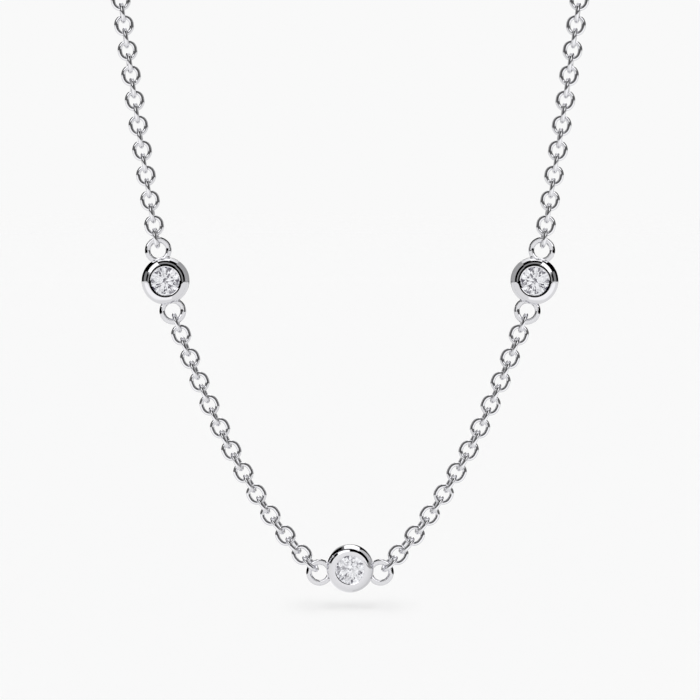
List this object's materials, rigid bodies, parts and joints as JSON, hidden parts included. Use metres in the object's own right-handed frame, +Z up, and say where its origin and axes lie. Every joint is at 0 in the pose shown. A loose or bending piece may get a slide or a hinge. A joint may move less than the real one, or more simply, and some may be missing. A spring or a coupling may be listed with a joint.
{
  "type": "diamond necklace",
  "caption": "Worn chain necklace with round bezel-set clear stones spaced along a fine white-metal cable chain, joined at the nape by a ring clasp.",
  "frame": {"origin": "middle of the clasp at the nape, where the necklace rests on the neck", "axes": "+Z up as worn, the stones face -Y, +X to the right of someone who looks at the front"},
  "size_m": [0.1014, 0.093, 0.142],
  "materials": {
    "white_gold": "highly polished, rhodium plated",
    "diamond": "clear faceted stone"
  },
  "bodies": {
    "root": {"setting_centre": "white_gold", "setting_left": "white_gold", "setting_right": "white_gold", "chain_left_lower": "white_gold", "chain_right_lower": "white_gold", "chain_left_upper": "white_gold", "chain_right_upper": "white_gold", "chain_left_back": "white_gold", "chain_right_back": "white_gold", "clasp": "white_gold", "end_ring": "white_gold", "stone_centre": "diamond", "stone_left": "diamond", "stone_right": "diamond"}
  },
  "joints": []
}
